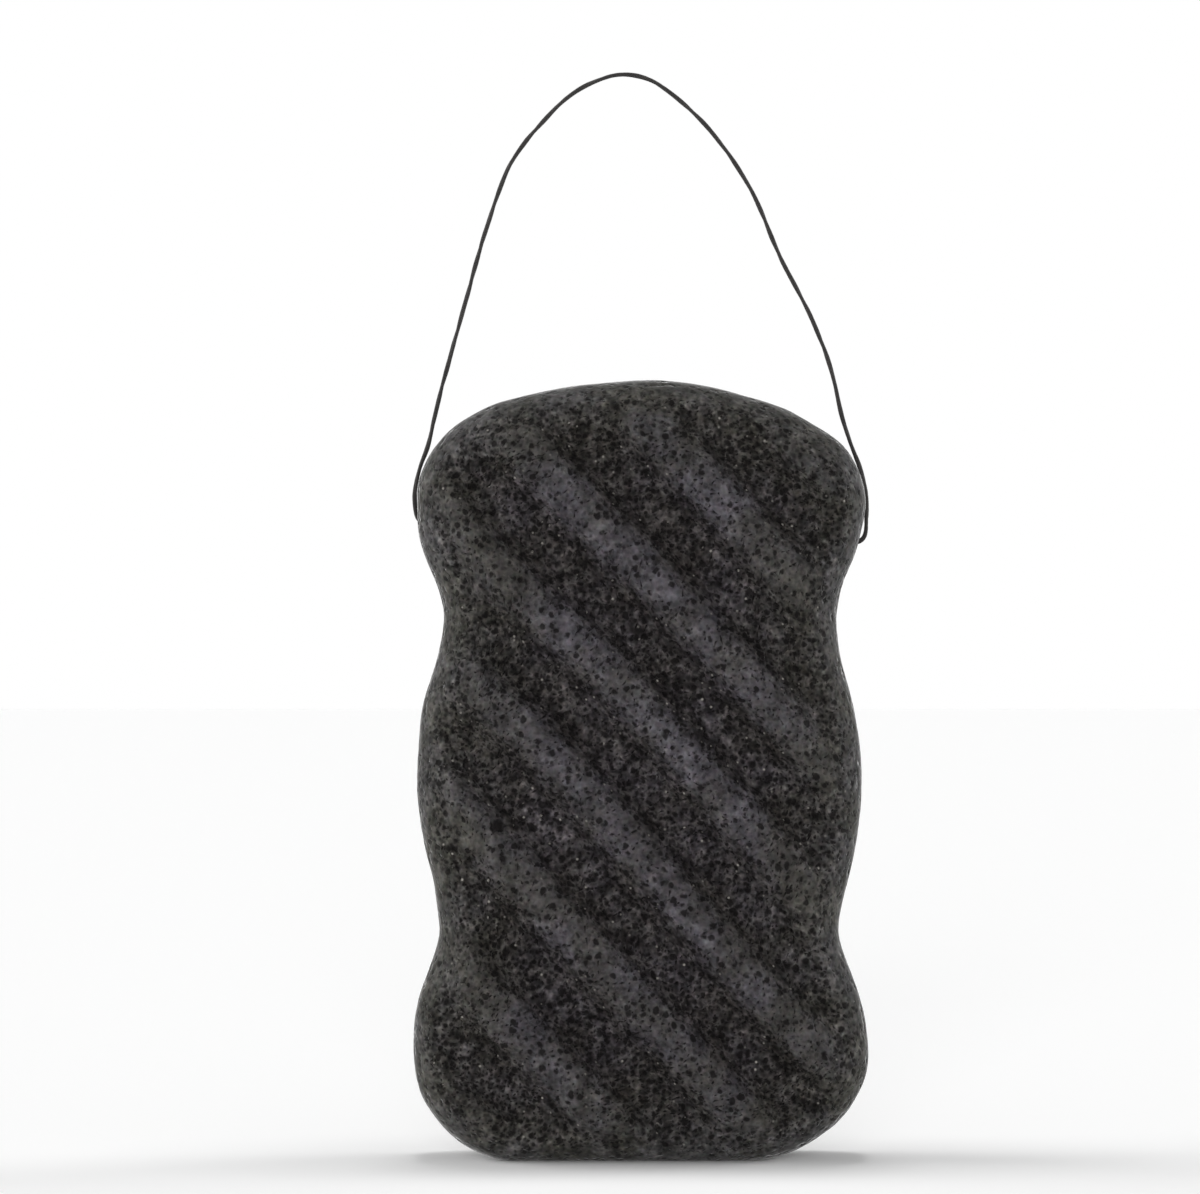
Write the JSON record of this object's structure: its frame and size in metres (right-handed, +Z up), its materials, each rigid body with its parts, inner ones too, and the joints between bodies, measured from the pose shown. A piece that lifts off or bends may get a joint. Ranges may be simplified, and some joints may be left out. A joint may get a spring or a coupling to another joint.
{
  "type": "konjac sponge",
  "caption": "Soft body sponge with lobed sides, slanting ridges on its front and a thin cord loop drawn through its upper lobes for hanging.",
  "frame": {"origin": "middle of the flat lower end that the sponge stands on, in width and thickness", "axes": "+Z up along the sponge's length, +X to the right seen from the ridged front, +Y from the ridged front to the flat back"},
  "size_m": [0.088, 0.0299, 0.2093],
  "materials": {
    "konjac_foam": "matte, open-pored charcoal grey foam",
    "cord": "matte black two-ply twisted thread"
  },
  "bodies": {
    "sponge": {"sponge_body": "konjac_foam"},
    "cord": {"cord_loop": "cord", "cord_inner_run": "cord", "cord_knot": "cord"}
  },
  "joints": [
    {"name": "loop_swing", "type": "hinge", "parent": "sponge", "child": "cord", "pos_m": [0, 0, 0.1205], "axis": [0.999, 0, -0.0454], "range_deg": [-150, 150]}
  ]
}
